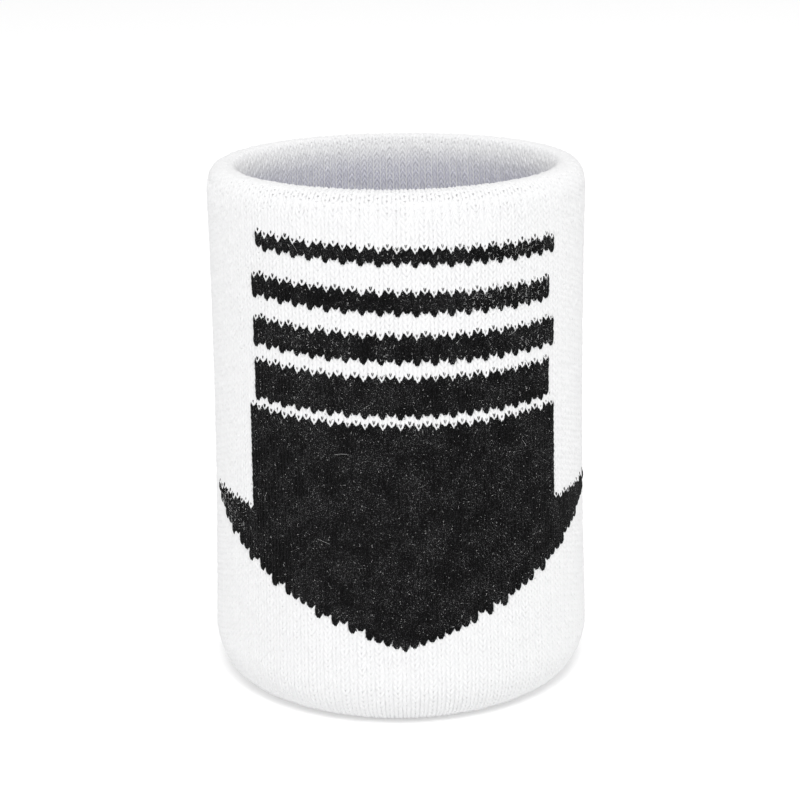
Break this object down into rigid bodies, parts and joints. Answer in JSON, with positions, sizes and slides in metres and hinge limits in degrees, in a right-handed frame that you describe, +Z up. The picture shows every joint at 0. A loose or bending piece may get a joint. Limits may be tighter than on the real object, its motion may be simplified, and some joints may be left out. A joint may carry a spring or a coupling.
{
  "type": "sweat wristband",
  "caption": "Tubular knitted sweat wristband: white face with a black striped arrow knitted in, rolled rims, knitted lining and elastic thread laid between the layers.",
  "frame": {"origin": "centre of the band's axis, on the flat crest of the lower rim", "axes": "+Z up along the band's axis, from the lower rim to the upper rim; the middle of the black pattern faces -Y; +X to the right as the pattern is seen"},
  "size_m": [0.0588, 0.0588, 0.08],
  "materials": {
    "white_knit": "matt white cotton-blend knit",
    "black_knit": "matt black cotton-blend knit",
    "lining_yarn": "soft white cotton-blend knit",
    "seam_thread": "white linking thread",
    "elastic": "covered elastic thread"
  },
  "bodies": {
    "root": {"face_knit": "white_knit", "stripe_1": "black_knit", "stripe_2": "black_knit", "stripe_3": "black_knit", "stripe_4": "black_knit", "arrow": "black_knit", "lining_knit": "lining_yarn", "closing_seam": "seam_thread", "elastic_thread_01": "elastic", "elastic_thread_02": "elastic", "elastic_thread_03": "elastic", "elastic_thread_04": "elastic", "elastic_thread_05": "elastic", "elastic_thread_06": "elastic", "elastic_thread_07": "elastic", "elastic_thread_08": "elastic", "elastic_thread_09": "elastic", "elastic_thread_10": "elastic", "elastic_thread_11": "elastic", "elastic_thread_12": "elastic"}
  },
  "joints": []
}
